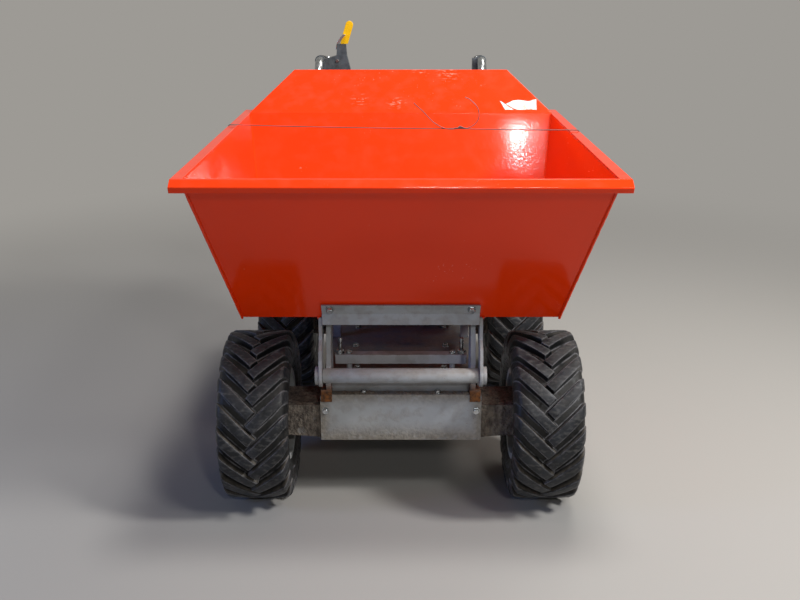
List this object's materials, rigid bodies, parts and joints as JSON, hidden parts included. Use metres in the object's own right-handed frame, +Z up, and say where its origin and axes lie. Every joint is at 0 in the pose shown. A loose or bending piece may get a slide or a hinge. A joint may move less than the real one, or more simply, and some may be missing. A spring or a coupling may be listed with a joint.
{
  "type": "site dumper",
  "caption": "Walk-behind four-wheel-drive site dumper with an open forward-tipping skip and lugged tyres.",
  "frame": {"origin": "on the floor, under the middle of the bounding box", "axes": "+Z up, -Y towards the front, which the skip tips over, +X to the right seen from the front"},
  "size_m": [0.909, 1.5084, 1.082],
  "materials": {
    "orange_paint": "gloss enamel",
    "frame_paint": "satin enamel, dusty",
    "axle_paint": "muddy enamel",
    "zinc_steel": "bright zinc plate",
    "handlebar_plating": "bright zinc plate",
    "rim_paint": "silver enamel",
    "hub_steel": "as cast, oily",
    "tyre_rubber": "moulded, dusty",
    "rubber": "matt",
    "engine_alloy": "as cast",
    "black_plastic": "moulded",
    "engine_black": "satin enamel",
    "exhaust_steel": "heat-stained",
    "yellow_paint": "satin enamel"
  },
  "bodies": {
    "chassis": {"chassis_sides": "frame_paint", "chassis_bottom": "frame_paint", "chassis_rear": "frame_paint", "chassis_deck": "frame_paint", "deck_lip": "frame_paint", "front_cover": "frame_paint", "pivot_uprights": "frame_paint", "pivot_tube": "frame_paint", "rear_posts": "frame_paint", "stop_bar": "frame_paint", "lashing_eyes": "frame_paint", "engine_mount_plate": "frame_paint", "handlebar_brace": "frame_paint", "axle_cases": "axle_paint", "gearbox": "axle_paint", "stop_screws": "zinc_steel", "hand_levers": "zinc_steel", "handlebars": "handlebar_plating", "rest_pads": "rubber", "grips": "rubber", "engine_crankcase": "engine_alloy", "engine_cylinder": "engine_alloy", "engine_intake": "black_plastic", "recoil_starter": "black_plastic", "tank_cap": "black_plastic", "lever_housings": "black_plastic", "fan_shroud": "engine_black", "fuel_tank": "engine_black", "tank_feet": "engine_black", "belt_guard": "engine_black", "muffler": "exhaust_steel", "tip_lever": "yellow_paint"},
    "skip": {"skip_front": "orange_paint", "skip_back": "orange_paint", "skip_floor": "orange_paint", "skip_side_left": "orange_paint", "skip_side_right": "orange_paint", "skip_rim_front": "orange_paint", "skip_rim_left": "orange_paint", "skip_rim_right": "orange_paint", "guard_plate": "orange_paint", "hinge_bracket": "frame_paint", "tip_arms": "frame_paint", "pivot_pin": "zinc_steel"},
    "wheel_front_left": {"tyre_front_left": "tyre_rubber", "rim_front_left": "rim_paint", "hub_front_left": "hub_steel"},
    "wheel_front_right": {"tyre_front_right": "tyre_rubber", "rim_front_right": "rim_paint", "hub_front_right": "hub_steel"},
    "wheel_rear_left": {"tyre_rear_left": "tyre_rubber", "rim_rear_left": "rim_paint", "hub_rear_left": "hub_steel"},
    "wheel_rear_right": {"tyre_rear_right": "tyre_rubber", "rim_rear_right": "rim_paint", "hub_rear_right": "hub_steel"}
  },
  "joints": [
    {"name": "wheel_front_left_spin", "type": "hinge", "parent": "chassis", "child": "wheel_front_left", "pos_m": [-0.342, -0.45, 0.205], "axis": [1, 0, 0], "continuous": true},
    {"name": "wheel_front_right_spin", "type": "hinge", "parent": "chassis", "child": "wheel_front_right", "pos_m": [0.342, -0.45, 0.205], "axis": [1, 0, 0], "continuous": true},
    {"name": "wheel_rear_left_spin", "type": "hinge", "parent": "chassis", "child": "wheel_rear_left", "pos_m": [-0.342, 0.23, 0.205], "axis": [1, 0, 0], "continuous": true},
    {"name": "wheel_rear_right_spin", "type": "hinge", "parent": "chassis", "child": "wheel_rear_right", "pos_m": [0.342, 0.23, 0.205], "axis": [1, 0, 0], "continuous": true},
    {"name": "skip_tip", "type": "hinge", "parent": "chassis", "child": "skip", "pos_m": [0, -0.52, 0.336], "axis": [1, 0, 0], "range_deg": [0, 85]}
  ]
}
